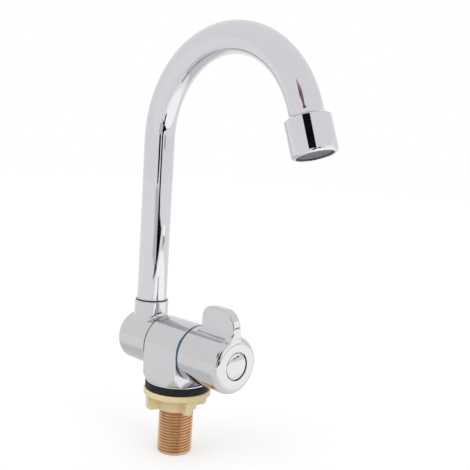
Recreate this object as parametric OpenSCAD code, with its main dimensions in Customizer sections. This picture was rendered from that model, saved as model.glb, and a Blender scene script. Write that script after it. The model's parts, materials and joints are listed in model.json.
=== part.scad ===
// Folding caravan tap: a cold-water tap for a worktop. Its gooseneck spout swivels in a barrel,
// and the barrel folds down sideways on the body. A lever knob on the other end works the valve.
// Millimetres. The origin is the centre of the gasket's underside, on the threaded shank's axis.
// +Z is up and +X runs along the folding axis, towards the knob.

/* [Shank and gasket] */
// Outside diameter of the shank's pipe thread
thread_d = 20.955; // [20.6:0.005:21.4]
// Pitch of the pipe thread
thread_pitch = 1.814; // [1.5:0.002:2]
// Length of the shank below the worktop's upper face
shank_below = 40; // [36:0.1:70]
// Diameter of the water bore through the shank
shank_bore_d = 13; // [9:0.1:14]
// Outside diameter of the rubber gasket
gasket_d = 39.4; // [36:0.1:44]
// Thickness of the rubber gasket
gasket_t = 4.5; // [2:0.1:5]

/* [Backnut] */
// Diameter of the nut's flange
nut_flange_d = 40.8; // [36:0.1:46]
// Thickness of the nut's flange
nut_flange_t = 3.6; // [2:0.1:4.5]
// Diameter of the nut's hub
nut_hub_d = 24.6; // [24:0.1:28]
// Height of the nut
nut_h = 12.4; // [9:0.1:16]
// Thickness of a wing on the nut
wing_t = 4; // [3:0.1:5]
// Direction of the first wing, from the folding axis
wing_angle = -19; // [-45:1:45]

/* [Body] */
// Height of the folding axis above the worktop
axis_h = 24.7; // [24:0.1:30]
// Diameter of the body's round top
body_d = 34; // [33:0.1:36]
// From the shank's axis back to the seam with the barrel
body_back = 13.3; // [13:0.1:16]
// From the shank's axis forward to the blue ring
body_front = 15.4; // [15:0.1:17]
// Thickness of the blue ring behind the knob
ring_t = 1; // [0.6:0.1:2]

/* [Barrel] */
// Diameter of the folding barrel
barrel_d = 31.3; // [29:0.1:32]
// Length of the folding barrel
barrel_len = 28.6; // [27:0.1:34]
// Rounding of the barrel's closed end
barrel_round = 4.3; // [1:0.1:8]
// Diameter of the collar that the spout stands in
collar_d = 21.1; // [20.4:0.1:24]
// Height of the collar's top above the folding axis
collar_rise = 24.3; // [24:0.1:32]
// Diameter of the bearing that the barrel turns on
bearing_d = 17; // [16.4:0.1:17.6]
// Turn of the barrel from upright to flat, to either side
fold_angle = 90; // [45:1:100]

/* [Spout] */
// Outside diameter of the spout's tube
tube_d = 18.5; // [17.6:0.1:19.6]
// Wall of the spout's tube
tube_wall = 1.2; // [0.8:0.1:1.4]
// Height of the straight riser, from the collar's top to the bend
riser_len = 99.5; // [60:0.1:180]
// Radius of the bend, to the middle of the tube
bend_r = 58.05; // [40:0.05:80]
// Angle that the bend turns through
bend_angle = 160; // [120:1:180]
// Straight tube between the bend and the outlet sleeve
tail_len = 2.2; // [1:0.1:20]

/* [Outlet] */
// Diameter of the outlet sleeve
sleeve_d = 24.6; // [23:0.1:26]
// Length of the outlet sleeve
sleeve_len = 23; // [20:0.1:30]
// Diameter of the screw-in stream former
former_d = 20; // [19:0.1:21]

/* [Knob] */
// Length of the knob
knob_len = 31.8; // [31:0.1:36]
// Rounding of the knob's front edge
knob_round = 4.5; // [2:0.1:6]
// Height of the lever's tip above the folding axis
lever_rise = 31; // [24:0.1:45]
// Thickness of the lever
lever_t = 6.4; // [4:0.1:8]
// Length of the lever along the knob
lever_len = 26.3; // [22:0.1:27]
// Diameter of the cap in the knob's face
cap_d = 15.6; // [12:0.1:18]

/* [Hidden] */
$fn = 96;
// Clearance of a running or screwed fit, on the radius and at a face
fit = 0.05;
// Gap between the knob and the ring that it turns over
knob_gap = 0.35;
// Extra depth of a cut, so that it breaks through a face cleanly
cut = 1;
// How far the washer, the ring and the knob stand back from the body's round top
ring_step = 0.3;

thread_r = thread_d / 2;
thread_depth = 0.64 * thread_pitch;
shank_bore_r = shank_bore_d / 2;
gasket_r = gasket_d / 2;
body_r = body_d / 2;
base_r = gasket_r - 0.4;
tube_r = tube_d / 2;
tube_bore_r = tube_r - tube_wall;
collar_r = collar_d / 2;
barrel_r = barrel_d / 2;
bearing_r = bearing_d / 2;
knob_r = body_r - ring_step;
knob_d = 2 * knob_r;
washer_r = body_r - ring_step;
cap_r = cap_d / 2;
sleeve_r = sleeve_d / 2;
former_r = former_d / 2;

// Places along the folding axis, as X
seam_x = -body_back;
slip_t = 0.7;
barrel_x = seam_x - slip_t;
barrel_end = barrel_x - barrel_len;
spout_x = barrel_x - barrel_len / 2;
seat_back = -1.5;
seat_front = 1.5;
bearing_end = seat_back - 0.2;
ring_x = body_front + ring_t;
knob_x = ring_x + knob_gap;
knob_front = knob_x + knob_len;

// Places up the spout, as Z
collar_top = axis_h + collar_rise;
flange_z = collar_top + 0.8;
flange_t = 0.8;
tube_z = flange_z + flange_t;
bend_z = collar_top + riser_len;
socket_r = 7.6;
socket_z = axis_h + 6.6;

// Waterway of the barrel and the spout's spigot
water_r = 4.5;

// Places of the valve along the folding axis
seal_t = 1.65;
disc_t = 2;
seal_x = seat_front + fit;
fixed_x = seal_x + seal_t + fit;
moving_x = fixed_x + disc_t + fit;
foot_x = moving_x + disc_t + fit;
foot_t = 1.5;
pocket_end = foot_x + foot_t + fit;
valve_thread_x = body_front - 6;
hex_t = 4;
hex_across = 21;
neck_len = 9.6;
neck_r = 7.5;
neck_end = ring_x + hex_t + neck_len;
clip_t = 0.8;
clip_x = neck_end + 0.2;
spline_x = clip_x + clip_t + fit;
spindle_reach = 21.7;
spindle_end = knob_x + spindle_reach;
valve_r = 10.3;
cage_r = 8;
disc_r = 6.8;
spindle_r = 4.55;
spline_r = 4;
screw_r = 2;

// Places inside the knob
socket_x = spline_x + 0.3;
spline_hold = 4.5;
head_seat = 2.5;
head_space = 3.6;
knob_floor = spindle_end - spline_hold;
head_x = spindle_end + head_seat;
cap_floor = head_x + head_space;
cap_rise = 1.2;
cap_gap = 0.35;

// Rounded rubber rings, by the radius of their section
o_ring_r = 0.75;
o_groove_w = 2.4;

// Lay a shape that stands on Z along the folding axis, so that its height becomes X
module along_x()
    translate([0, 0, axis_h]) rotate([0, 90, 0]) children();

// Stand a shape on the axis of the spout's riser
module on_riser()
    translate([spout_x, 0, 0]) children();

// Point a shape's +Z out of the spout's end, with its origin where the bend stops
module at_outlet()
    translate([spout_x + bend_r, 0, bend_z])
        rotate([0, bend_angle, 0])
            translate([-bend_r, 0, 0]) children();

// A plain tube from z0 to z1
module pipe(r_out, r_in, z0, z1)
    translate([0, 0, z0]) difference() {
        cylinder(r = r_out, h = z1 - z0);
        translate([0, 0, -cut]) cylinder(r = r_in, h = z1 - z0 + 2 * cut);
    }

// A plain rod from z0 to z1
module rod(r, z0, z1)
    translate([0, 0, z0]) cylinder(r = r, h = z1 - z0);

// The ring of material to take out of a rod of radius r, down to root_r, from z0 to z1
module groove(r, root_r, z0, z1)
    pipe(r + cut, root_r, z0, z1);

// A rubber ring of round section
module o_ring(centre_r, z)
    translate([0, 0, z]) rotate_extrude() translate([centre_r, 0]) circle(r = o_ring_r);

// A flat ring with a gap in it, as a sprung clip has
module split_ring(r_out, r_in, z0, z1, gap)
    difference() {
        pipe(r_out, r_in, z0, z1);
        translate([0, -gap / 2, z0 - cut]) cube([r_out + cut, gap, z1 - z0 + 2 * cut]);
    }

// Body: an arch between the barrel and the knob, on a round foot with a hollow flare
rim_h = 0.6;
cove_r = base_r - body_front;
foot_top = gasket_t + rim_h + cove_r;
wide_r = norm([body_front, body_r]) + 1;
// A shallow channel in the foot clears the washer and the barrel
channel_r = washer_r + 0.2;

module arch()
    translate([seam_x, 0, 0]) rotate([90, 0, 90]) linear_extrude(body_back + body_front) {
        translate([0, axis_h]) circle(r = body_r);
        translate([-body_r, gasket_t]) square([body_d, axis_h - gasket_t]);
    }

// Space that the arch keeps to: its lower corners draw in to the round foot
module corner_trim()
    rotate_extrude() polygon([
        [0, gasket_t], [base_r, gasket_t], [base_r, gasket_t + rim_h],
        [wide_r, foot_top], [wide_r, axis_h + body_d], [0, axis_h + body_d],
    ]);

module foot()
    rotate_extrude() difference() {
        translate([0, gasket_t]) square([base_r, foot_top - gasket_t]);
        translate([base_r, foot_top]) circle(r = cove_r);
    }

// Water comes up the shank, past its end and through a side passage to the valve
shank_top = gasket_t + 8;
gallery_top = shank_top + 1;
gallery_r = thread_r - 1.5;
passage_r = 3;
passage_x = 6;
chamber_r = cage_r + 1.2;

// The stop screw stands at the back of the body, level with the folding axis
stop_x = (seam_x + bearing_end) / 2;
stop_r = 2;
stop_tip_r = 1.2;
stop_head_y = body_r - 3;
stop_shoulder_y = bearing_r + 0.5;
stop_slot_r = bearing_r - 1.5;
stop_tip_y = stop_slot_r + 0.3;

module body_casting()
    color("gainsboro") difference() {
        union() {
            intersection() {
                arch();
                corner_trim();
            }
            foot();
        }
        along_x() {
            rod(channel_r, seam_x - 2 * cove_r, seam_x);
            rod(bearing_r + fit, seam_x - cut, seat_back);
            rod(water_r, seat_back - cut, seat_front + cut);
            rod(chamber_r, seat_front, valve_thread_x + cut);
            rod(valve_r + fit, valve_thread_x, body_front + cut);
        }
        rod(thread_r + fit, gasket_t - cut, shank_top);
        rod(gallery_r, shank_top - cut, gallery_top);
        translate([passage_x, 0, 0]) rod(passage_r, gallery_top - cut / 2, axis_h - cage_r);
        translate([stop_x, 0, axis_h]) rotate([-90, 0, 0]) rod(stop_r + fit, bearing_r - cut, body_r + cut);
    }

// Shank: a brass pipe, screwed into the body. A groove, one pitch wide and as deep as the thread,
// lies just below the nut.
shank_chamfer = 0.9;
relief_top = -nut_h - fit;

module tail_shank()
    color("peru") difference() {
        rotate_extrude() polygon([
            [0, -shank_below], [thread_r - shank_chamfer, -shank_below],
            [thread_r, shank_chamfer - shank_below], [thread_r, shank_top - fit], [0, shank_top - fit],
        ]);
        rod(shank_bore_r, -shank_below - cut, shank_top + cut);
        groove(thread_r, thread_r - thread_depth, relief_top - thread_pitch, relief_top);
    }

module base_gasket()
    color("dimgray") pipe(gasket_r, thread_r + 0.3, 0, gasket_t);

// Backnut: a flange, a hub and four wings, wound up to the gasket
wings = 4;
wing_round = 2.6;
nut_edge = 0.7;
nut_flange_r = nut_flange_d / 2;
wing_r = nut_flange_r - 0.9;
nut_hub_r = nut_hub_d / 2;

module nut_turning()
    rotate_extrude() polygon([
        [thread_r + fit, -fit], [nut_flange_r - nut_edge, -fit], [nut_flange_r, -fit - nut_edge],
        [nut_flange_r, nut_edge - nut_flange_t], [nut_flange_r - nut_edge, -nut_flange_t],
        [nut_hub_r, -nut_flange_t], [nut_hub_r, -nut_h], [thread_r + fit, -nut_h],
    ]);

// One wing: its outer lower corner is round
module nut_wing()
    translate([0, wing_t / 2, 0]) rotate([90, 0, 0]) linear_extrude(wing_t) {
        translate([thread_r + cut, wing_round - nut_h])
            square([wing_r - thread_r - cut, nut_h - wing_round - nut_flange_t / 2]);
        translate([thread_r + cut, -nut_h]) square([wing_r - wing_round - thread_r - cut, nut_h / 2]);
        translate([wing_r - wing_round, wing_round - nut_h]) circle(r = wing_round);
    }

module backnut()
    color("wheat") {
        nut_turning();
        for (i = [0 : wings - 1]) rotate(wing_angle + i * 360 / wings) nut_wing();
    }

module index_ring()
    color("steelblue") along_x() pipe(knob_r, valve_r + fit, body_front, ring_x);

// Valve: two ceramic discs in a brass body that is screwed into the casting
cage_windows = 2;
window_len = 2 * disc_t;
window_w = 7;

module valve_body()
    color("goldenrod") along_x() difference() {
        union() {
            rod(cage_r, fixed_x, valve_thread_x + cut);
            rod(valve_r, valve_thread_x, ring_x + cut);
            translate([0, 0, ring_x]) cylinder(r = hex_across / sqrt(3), h = hex_t, $fn = 6);
            rod(neck_r, ring_x + cut, neck_end);
        }
        rod(disc_r + fit, fixed_x - cut, pocket_end);
        rod(spindle_r + fit, pocket_end - cut, neck_end + cut);
        for (i = [0 : cage_windows - 1])
            rotate(i * 360 / cage_windows)
                translate([0, -window_w / 2, fixed_x + 0.8]) cube([cage_r + cut, window_w, window_len]);
    }

module valve_seal()
    color("black") along_x() pipe(disc_r, water_r, seal_x, seal_x + seal_t);

// Ports lie across the casting in the fixed disc, and up and down in the closed moving disc
port_r = 1.9;
port_offset = 3.8;
drive_w = 2;
drive_depth = 0.9;

module ports(z0, z1, turn)
    for (i = [0, 1]) rotate(turn + i * 180) translate([port_offset, 0, 0]) rod(port_r, z0 - cut, z1 + cut);

module fixed_disc()
    color("white") along_x() difference() {
        rod(disc_r, fixed_x, fixed_x + disc_t);
        ports(fixed_x, fixed_x + disc_t, 90);
    }

// The bar that drives the moving disc, from the spindle's foot
module drive_bar(play)
    translate([-drive_w / 2 - play, -disc_r, foot_x - drive_depth - play])
        cube([drive_w + 2 * play, 2 * disc_r, drive_depth + play + cut / 2]);

module moving_disc()
    color("ivory") along_x() difference() {
        rod(disc_r - 0.2, moving_x, moving_x + disc_t);
        ports(moving_x, moving_x + disc_t, 0);
        drive_bar(fit);
    }

spindle_groove_in = 4;
spindle_groove_x = valve_thread_x + spindle_groove_in;
spindle_groove_r = spindle_r - 2 * o_ring_r + 0.03;

module valve_spindle()
    color("darkgoldenrod") along_x() difference() {
        union() {
            rod(disc_r - 0.3, foot_x, foot_x + foot_t);
            intersection() {
                drive_bar(0);
                rod(disc_r - 0.8, moving_x, foot_x + foot_t);
            }
            rod(spindle_r, foot_x, spline_x);
            rod(spline_r, foot_x, spindle_end);
        }
        translate([0, 0, spindle_groove_x]) groove(spindle_r, spindle_groove_r, -o_groove_w / 2, o_groove_w / 2);
        groove(spindle_r, spline_r - 0.5, clip_x - fit, clip_x + clip_t + fit);
        rod(screw_r + fit, knob_floor - 7, spindle_end + cut);
    }

module spindle_o_ring()
    color("black") along_x() o_ring(spindle_groove_r + o_ring_r + 0.01, spindle_groove_x);

module spindle_clip()
    color("slategray") along_x() split_ring(6.2, spline_r - 0.45, clip_x, clip_x + clip_t, 3);

// Knob: a cup over the valve, with a lever plate that fillets down onto it
lever_set = 1.25;
lever_front = knob_front - lever_set;
lever_back = lever_front - lever_len;
lever_nose_r = 11;
lever_tail_r = 7;
lever_fillet = 4;
fillet_y = lever_t / 2 + lever_fillet;
fillet_z = sqrt(pow(knob_r + lever_fillet, 2) - pow(fillet_y, 2));

// Side view of the lever, along X and up from the folding axis
module lever_side() {
    difference() {
        translate([lever_back, 0]) square([lever_len, lever_rise]);
        translate([lever_front - lever_nose_r, lever_rise - lever_nose_r]) square(lever_nose_r + cut);
        translate([lever_back - cut, lever_rise - lever_tail_r]) square(lever_tail_r + cut);
    }
    translate([lever_front - lever_nose_r, lever_rise - lever_nose_r]) circle(r = lever_nose_r);
    translate([lever_back + lever_tail_r, lever_rise - lever_tail_r]) circle(r = lever_tail_r);
}

// End view of the lever: a plate whose foot curves out to the knob
module lever_end()
    difference() {
        polygon([
            [-fillet_y, 0], [fillet_y, 0], [fillet_y, fillet_z],
            [lever_t / 2, fillet_z], [lever_t / 2, lever_rise + cut],
            [-lever_t / 2, lever_rise + cut], [-lever_t / 2, fillet_z], [-fillet_y, fillet_z],
        ]);
        for (side = [-1, 1]) translate([side * fillet_y, fillet_z]) circle(r = lever_fillet);
    }

module lever()
    translate([0, 0, axis_h]) intersection() {
        rotate([90, 0, 0]) translate([0, 0, -knob_r]) linear_extrude(knob_d) lever_side();
        rotate([90, 0, 90]) translate([0, 0, lever_back]) linear_extrude(lever_len) lever_end();
    }

cavity_r = knob_r - 2.2;
boss_r = 7.2;

module handle()
    color("gainsboro") difference() {
        union() {
            along_x() rotate_extrude() {
                translate([0, knob_x]) square([knob_r, knob_len - knob_round]);
                translate([0, knob_x]) square([knob_r - knob_round, knob_len]);
                translate([knob_r - knob_round, knob_front - knob_round]) circle(r = knob_round);
            }
            lever();
        }
        along_x() {
            difference() {
                rod(cavity_r, knob_x - cut, knob_floor);
                rod(boss_r, socket_x, knob_floor + cut);
            }
            rod(spline_r + fit, socket_x - cut, spindle_end + 0.2);
            rod(screw_r + 0.2, spindle_end - cut, head_x + cut);
            rod(4.4, head_x, cap_floor + cut);
            rod(cap_r + cap_gap, cap_floor, knob_front + cut);
        }
    }

module handle_screw()
    color("silver") along_x() {
        rod(screw_r, knob_floor - 6, head_x + cut);
        rod(3.8, head_x + fit, head_x + 2.4);
    }

// Cap: a low dome, pushed into the knob's face
cap_edge = knob_front - 0.4;
cap_dome_r = (cap_r * cap_r + cap_rise * cap_rise) / (2 * cap_rise);

module index_cap()
    color("whitesmoke") along_x() intersection() {
        rod(cap_r, cap_floor + fit, cap_edge + cap_rise);
        translate([0, 0, cap_edge + cap_rise - cap_dome_r]) sphere(r = cap_dome_r);
    }

// Barrel: turns on a hollow bearing in the body, and its collar takes the spout
bearing_groove_r = bearing_r - 2 * o_ring_r - 0.05;
inner_o_x = bearing_end - 0.9 - o_groove_w / 2;
outer_o_x = barrel_x - 0.4 + slip_t + o_groove_w / 2;
stop_play = asin((stop_tip_r + 0.1) / stop_tip_y);
stop_sweep = 2 * (fold_angle + stop_play);
retainer_z = collar_top - 3.4;
retainer_t = 1.2;
retainer_r = socket_r + 0.6;

module fold_barrel()
    color("gainsboro") difference() {
        union() {
            along_x() rotate_extrude() {
                translate([0, barrel_end + barrel_round]) square([barrel_r, barrel_len - barrel_round]);
                translate([0, barrel_end]) square([barrel_r - barrel_round, barrel_len]);
                translate([barrel_r - barrel_round, barrel_end + barrel_round]) circle(r = barrel_round);
            }
            along_x() rod(bearing_r, barrel_x - cut, bearing_end);
            on_riser() rod(collar_r, axis_h, collar_top);
        }
        along_x() {
            rod(water_r, spout_x - water_r, bearing_end + cut);
            groove(bearing_r, bearing_groove_r, inner_o_x - o_groove_w / 2, inner_o_x + o_groove_w / 2);
            groove(bearing_r, bearing_groove_r, outer_o_x - o_groove_w / 2, outer_o_x + o_groove_w / 2);
            // slot that the stop screw's tip runs in, centred on the back of the body
            translate([0, 0, stop_x - stop_tip_r - 0.2])
                rotate(90 - stop_sweep / 2)
                    rotate_extrude(angle = stop_sweep)
                        translate([stop_slot_r, 0]) square([bearing_r, 2 * stop_tip_r + 0.4]);
        }
        on_riser() {
            rod(water_r, axis_h, socket_z + cut);
            rod(socket_r, socket_z, collar_top + cut);
            rod(retainer_r + 0.15, retainer_z - 0.15, retainer_z + retainer_t + 0.15);
        }
    }

module fold_o_rings()
    color("black") along_x() for (x = [inner_o_x, outer_o_x]) o_ring(bearing_groove_r + o_ring_r + 0.02, x);

// The washer's edge shows as a dark line between the body and the barrel
module fold_washer()
    color("black") along_x() pipe(washer_r, bearing_r + 0.3, barrel_x + fit, seam_x);

module stop_screw()
    color("slategray") translate([stop_x, 0, axis_h]) rotate([-90, 0, 0]) difference() {
        union() {
            rod(stop_r, stop_shoulder_y, stop_head_y);
            rod(stop_tip_r, stop_tip_y, stop_shoulder_y + cut);
        }
        translate([0, 0, stop_head_y - 1.8]) cylinder(r = stop_r / 2, h = 2 * cut, $fn = 6);
    }

// Spout: a bent tube on a spigot that turns in the collar
outlet_lap = 5;

// Half of the bend as a solid of the given radius, with a little more than half the angle, so that
// the two halves overlap. It starts at the given angle about the bend's own axis.
bend_lap = 0.5;

module half_bend(r, from)
    translate([bend_r, 0, 0]) rotate([90, 0, 0])
        rotate_extrude(start = from, angle = bend_angle / 2 + bend_lap) translate([bend_r, 0]) circle(r = r);

// The spout's route as a solid of the given radius
module route(r) {
    on_riser() {
        rod(r, tube_z, bend_z);
        translate([0, 0, bend_z]) half_bend(r, 180 - bend_angle / 2 - bend_lap);
    }
    at_outlet() {
        half_bend(r, 180);
        rod(r, 0, tail_len + outlet_lap);
    }
}

module spout_tube()
    color("gainsboro") difference() {
        route(tube_r);
        route(tube_bore_r);
        on_riser() rod(tube_bore_r, tube_z - cut, tube_z + cut);
        at_outlet() rod(tube_bore_r, tail_len, tail_len + outlet_lap + cut);
    }

spigot_r = socket_r - fit;
spigot_end = socket_z + 0.3;
spigot_groove_r = spigot_r - 2 * o_ring_r - 0.1;
spout_o_zs = [retainer_z - 3.2, retainer_z - 8.6];
spigot_lap = 11;

module spout_spigot()
    color("burlywood") on_riser() difference() {
        union() {
            rod(spigot_r, spigot_end, flange_z + cut / 2);
            rod(tube_r + 0.4, flange_z, tube_z);
            rod(tube_bore_r - fit, flange_z, tube_z + spigot_lap);
        }
        rod(water_r, spigot_end - cut, tube_z + spigot_lap + cut);
        for (z = spout_o_zs) groove(spigot_r, spigot_groove_r, z - o_groove_w / 2, z + o_groove_w / 2);
        groove(spigot_r, spigot_r - 1, retainer_z - fit, retainer_z + retainer_t + fit);
    }

module spout_o_rings()
    color("black") on_riser() for (z = spout_o_zs) o_ring(spigot_groove_r + o_ring_r + 0.02, z);

module spout_retainer()
    color("slategray")
        on_riser() split_ring(retainer_r, spigot_r - 0.95, retainer_z, retainer_z + retainer_t, 4);

module spout_slip_ring()
    color("black") on_riser() pipe(tube_r + 0.6, spigot_r + fit, collar_top + fit, flange_z);

// Outlet: a sleeve brazed over the tube's end, with a hollow shoulder and a screw-in stream former
sleeve_end = tail_len + sleeve_len;
shoulder_h = 3.6;
lip_r = tube_r + 0.3;
shoulder_step = sleeve_r - lip_r;
shoulder_r = (shoulder_step * shoulder_step + shoulder_h * shoulder_h) / (2 * shoulder_step);
sleeve_edge = 1.6;
former_seat = tail_len + outlet_lap + 2;
washer_t = 1.5;
former_x = former_seat + washer_t + 2 * fit;
former_end = sleeve_end - 0.6;
mesh_t = 0.6;
mesh_r = former_r - 0.8;
mesh_z = former_end - mesh_t - 0.2;
jet_r = 0.9;
jets = 10;

module outlet_sleeve()
    color("gainsboro") at_outlet() difference() {
        rotate_extrude() {
            difference() {
                translate([0, tail_len]) square([sleeve_r, sleeve_len - sleeve_edge]);
                translate([lip_r + shoulder_r, tail_len]) circle(r = shoulder_r);
            }
            translate([0, sleeve_end - 2 * sleeve_edge]) square([sleeve_r - sleeve_edge, 2 * sleeve_edge]);
            translate([sleeve_r - sleeve_edge, sleeve_end - sleeve_edge]) circle(r = sleeve_edge);
        }
        rod(tube_r + fit, tail_len - cut, tail_len + outlet_lap + fit);
        rod(tube_bore_r, tail_len, sleeve_end);
        rod(former_r + fit, former_seat, sleeve_end + cut);
    }

module stream_washer()
    color("black") at_outlet() translate([0, 0, former_seat + fit])
        pipe(former_r - 0.2, tube_bore_r, 0, washer_t);

module stream_former()
    color("lightgray") at_outlet() difference() {
        rod(former_r, former_x, former_end);
        rod(former_r - 2.4, former_x - cut, former_x + 4);
        rod(mesh_r - 0.8, former_x + 6, mesh_z + cut / 2);
        rod(mesh_r + fit, mesh_z, former_end + cut);
        for (i = [0 : jets - 1])
            rotate(i * 360 / jets) translate([former_r / 2, 0, 0]) rod(jet_r, former_x, former_x + 6 + cut);
    }

module stream_mesh()
    color("gray") at_outlet() rod(mesh_r, mesh_z, mesh_z + mesh_t);

body_casting();
tail_shank();
base_gasket();
backnut();
index_ring();
valve_body();
valve_seal();
fixed_disc();
moving_disc();
valve_spindle();
spindle_o_ring();
spindle_clip();
handle();
handle_screw();
index_cap();
fold_barrel();
fold_o_rings();
fold_washer();
stop_screw();
spout_tube();
spout_spigot();
spout_o_rings();
spout_retainer();
spout_slip_ring();
outlet_sleeve();
stream_washer();
stream_former();
stream_mesh();
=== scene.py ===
# %% [markdown]
# # A folding caravan tap, dressed on its CAD frame
# The tap stands on a threaded brass shank. A chromed body carries a lever knob on one end and a barrel
# on the other, and a swan-neck spout turns in the barrel's collar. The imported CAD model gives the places
# and the main sizes, so it is loaded first and is never moved. The pieces made here take the place of the
# CAD nodes that show, because a chromed surface has to be smooth: a mirror shows each flat facet.

# %% Load the frame and keep its box
import json
import math

import bmesh
import bpy
import numpy as np
from mathutils import Matrix, Vector


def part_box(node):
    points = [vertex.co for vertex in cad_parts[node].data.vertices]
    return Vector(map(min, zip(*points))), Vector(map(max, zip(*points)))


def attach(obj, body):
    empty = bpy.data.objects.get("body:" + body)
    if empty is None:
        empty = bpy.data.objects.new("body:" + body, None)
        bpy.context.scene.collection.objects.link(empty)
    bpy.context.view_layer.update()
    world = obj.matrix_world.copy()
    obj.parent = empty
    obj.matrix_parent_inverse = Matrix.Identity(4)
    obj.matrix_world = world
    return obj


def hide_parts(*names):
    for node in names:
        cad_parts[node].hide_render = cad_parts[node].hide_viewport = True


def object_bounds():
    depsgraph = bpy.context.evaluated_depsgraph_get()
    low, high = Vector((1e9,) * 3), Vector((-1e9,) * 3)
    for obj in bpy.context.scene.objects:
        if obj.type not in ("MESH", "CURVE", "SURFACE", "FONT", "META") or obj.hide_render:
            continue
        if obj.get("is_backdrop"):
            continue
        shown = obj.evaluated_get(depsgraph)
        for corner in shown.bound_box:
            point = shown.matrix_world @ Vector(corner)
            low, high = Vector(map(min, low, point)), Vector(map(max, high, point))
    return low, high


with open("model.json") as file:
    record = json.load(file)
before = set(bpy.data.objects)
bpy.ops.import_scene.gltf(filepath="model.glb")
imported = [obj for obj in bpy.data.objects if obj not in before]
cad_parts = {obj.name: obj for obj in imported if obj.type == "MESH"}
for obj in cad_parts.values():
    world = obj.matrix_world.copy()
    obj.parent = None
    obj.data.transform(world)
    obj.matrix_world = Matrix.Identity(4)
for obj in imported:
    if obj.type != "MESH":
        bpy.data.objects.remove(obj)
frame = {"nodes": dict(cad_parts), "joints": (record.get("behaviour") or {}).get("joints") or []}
cad_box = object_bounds()
MM = 0.001
# FIT is the clearance between two skins in millimetres, the unit of every size below.
FIT = 0.05
X_AXIS, Y_AXIS, Z_AXIS = np.eye(3)
pivots = {joint["name"]: np.array(joint.get("pos_m", [0, 0, 0])) / MM for joint in frame["joints"]}


def span(node):
    """The lowest and the highest corner of a CAD node, in millimetres."""
    return [np.array(corner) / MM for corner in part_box(node)]


print("CAD box in mm", [[round(value / MM, 1) for value in corner] for corner in cad_box])
print("joints at", {name: spot.round(1).tolist() for name, spot in pivots.items()})

# %% [markdown]
# ## The camera
# The photograph is taken from the knob's side, a little above the body, with the camera slightly turned.
# A camera can be placed by eye, but here its place and turn were worked out from the tap's own sizes.
# Blender's camera looks along its own -Z, so the columns of its matrix are right, up and back.

# %% Place the camera
LENS, SENSOR, NEAR_CLIP = 56.93, 36.0, 10
EYE = np.array([325.7, -295.49, 146.46])
LOOK_TURN, LOOK_DOWN, LOOK_ROLL = np.radians([43.97, 6.7, -3.57])

level_ahead = np.array([-np.sin(LOOK_TURN), np.cos(LOOK_TURN), 0.0])
level_right = np.array([np.cos(LOOK_TURN), np.sin(LOOK_TURN), 0.0])
ahead = np.cos(LOOK_DOWN) * level_ahead - np.sin(LOOK_DOWN) * Z_AXIS
level_down = np.cross(ahead, level_right)
right = np.cos(LOOK_ROLL) * level_right + np.sin(LOOK_ROLL) * level_down
down = np.cos(LOOK_ROLL) * level_down - np.sin(LOOK_ROLL) * level_right

camera = bpy.data.objects.new("camera", bpy.data.cameras.new("camera"))
camera.data.lens = LENS
camera.data.sensor_width = SENSOR
camera.data.clip_start = NEAR_CLIP * MM
place = np.eye(4)
place[:3] = np.column_stack([right, -down, -ahead, EYE * MM])
camera.matrix_world = Matrix(place.tolist())
bpy.context.scene.collection.objects.link(camera)
bpy.context.scene.camera = camera
bpy.context.scene.view_settings.view_transform = "Standard"
print("camera is", round(float(np.linalg.norm(EYE))), "mm from the tap's foot")

# %% [markdown]
# ## Shared helpers for finishes
# Real finishes are never one flat colour: plated metal carries a faint film from fingers and water, and
# moulded parts have a fine grain. Both effects are wanted in several materials, so each is built once as
# a shader node group. They read Object coordinates, so the pattern stays on the piece when it moves.

# %% Node helpers and the two groups
PATCH_FROM, PATCH_FULL, PATCH_DETAIL = 0.42, 0.72, 5.0
GRAIN_DETAIL, TINT_DETAIL, TINT_WIDER = 3.0, 4.0, 8.0


def add_node(tree, kind, values=None, **settings):
    """A new node of that kind, with its settings, and its inputs either set or linked from a socket."""
    made = tree.nodes.new(kind)
    for key, value in settings.items():
        setattr(made, key, value)
    for key, value in (values or {}).items():
        if isinstance(value, bpy.types.NodeSocket):
            tree.links.new(value, made.inputs[key])
        else:
            made.inputs[key].default_value = value
    return made


def start_group(name, inputs, outputs):
    """An empty shader group with float inputs, given with their defaults, and float outputs."""
    group = bpy.data.node_groups.new(name, "ShaderNodeTree")
    for label, default in inputs.items():
        socket = group.interface.new_socket(label, in_out="INPUT", socket_type="NodeSocketFloat")
        socket.default_value = default
    for label in outputs:
        group.interface.new_socket(label, in_out="OUTPUT", socket_type="NodeSocketFloat")
    return group, group.nodes.new("NodeGroupInput").outputs, group.nodes.new("NodeGroupOutput").inputs


def add_noise(tree, scale, detail):
    """The value of a noise on Object coordinates."""
    spot = add_node(tree, "ShaderNodeTexCoord").outputs["Object"]
    noise = add_node(tree, "ShaderNodeTexNoise", {"Vector": spot, "Scale": scale, "Detail": detail})
    return noise.outputs["Fac"]


def make_handling_film():
    """Clouded patches: the roughness runs from Clean to Dull as a slow noise goes up through a band."""
    group, given, put = start_group(
        "handling_film", {"Patch Scale": 60.0, "Clean": 0.05, "Dull": 0.15}, ["Roughness"]
    )
    rough = add_node(group, "ShaderNodeMapRange", {
        "Value": add_noise(group, given["Patch Scale"], PATCH_DETAIL),
        "From Min": PATCH_FROM, "From Max": PATCH_FULL, "To Min": given["Clean"], "To Max": given["Dull"],
    })
    group.links.new(rough.outputs["Result"], put["Roughness"])
    return group


def make_moulded_grain():
    """Fine grain: a noise at the grain's own size for the height, and a wider one for the tint."""
    group, given, put = start_group("moulded_grain", {"Grain Scale": 1500.0}, ["Height", "Tint"])
    scale = given["Grain Scale"]
    wide = add_node(group, "ShaderNodeMath", {0: scale, 1: TINT_WIDER}, operation="DIVIDE").outputs[0]
    group.links.new(add_noise(group, scale, GRAIN_DETAIL), put["Height"])
    group.links.new(add_noise(group, wide, TINT_DETAIL), put["Tint"])
    return group


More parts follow.
